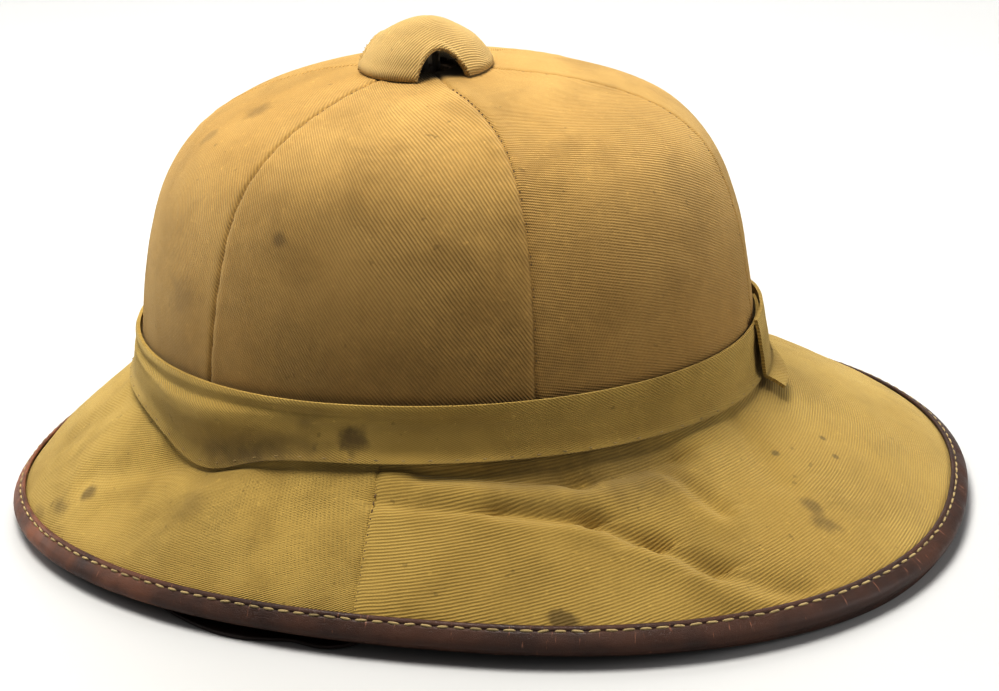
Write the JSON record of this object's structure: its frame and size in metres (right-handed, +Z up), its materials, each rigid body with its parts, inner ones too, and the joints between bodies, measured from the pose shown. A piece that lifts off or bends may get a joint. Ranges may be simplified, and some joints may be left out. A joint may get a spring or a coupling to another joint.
{
  "type": "sun helmet",
  "caption": "Cloth-covered pressed-cork sun helmet with a domed vent cap, folded cloth band, wide sloping brim longer at the rear, leather-bound rim and chin strap.",
  "frame": {"origin": "on the surface the helmet rests on, under the middle of its length and width", "axes": "+X towards the long rear brim, +Z up through the crown, -Y the side with the dent in the brim"},
  "size_m": [0.3512, 0.2854, 0.1767],
  "materials": {
    "cork": "pressed cork granules, matt",
    "crown_twill": "sand-coloured cotton twill, slightly soiled",
    "brim_twill": "khaki cotton twill, creased and spotted",
    "band_twill": "folded cotton twill cut on the bias",
    "rim_leather": "dark brown leather, worn reddish, stitched with pale thread",
    "strap_leather": "very dark brown leather",
    "dull_metal": "dull zinc-plated steel"
  },
  "bodies": {
    "root": {"cork_shell": "cork", "crown_gore_1": "crown_twill", "crown_gore_2": "crown_twill", "crown_gore_3": "crown_twill", "crown_gore_4": "crown_twill", "crown_gore_5": "crown_twill", "crown_gore_6": "crown_twill", "brim_cover_front": "brim_twill", "brim_cover_rear": "brim_twill", "puggaree_band": "band_twill", "rim_binding": "rim_leather", "vent_cap": "crown_twill", "vent_post": "dull_metal", "chin_strap": "strap_leather", "strap_stud_near": "dull_metal", "strap_stud_far": "dull_metal"}
  },
  "joints": []
}
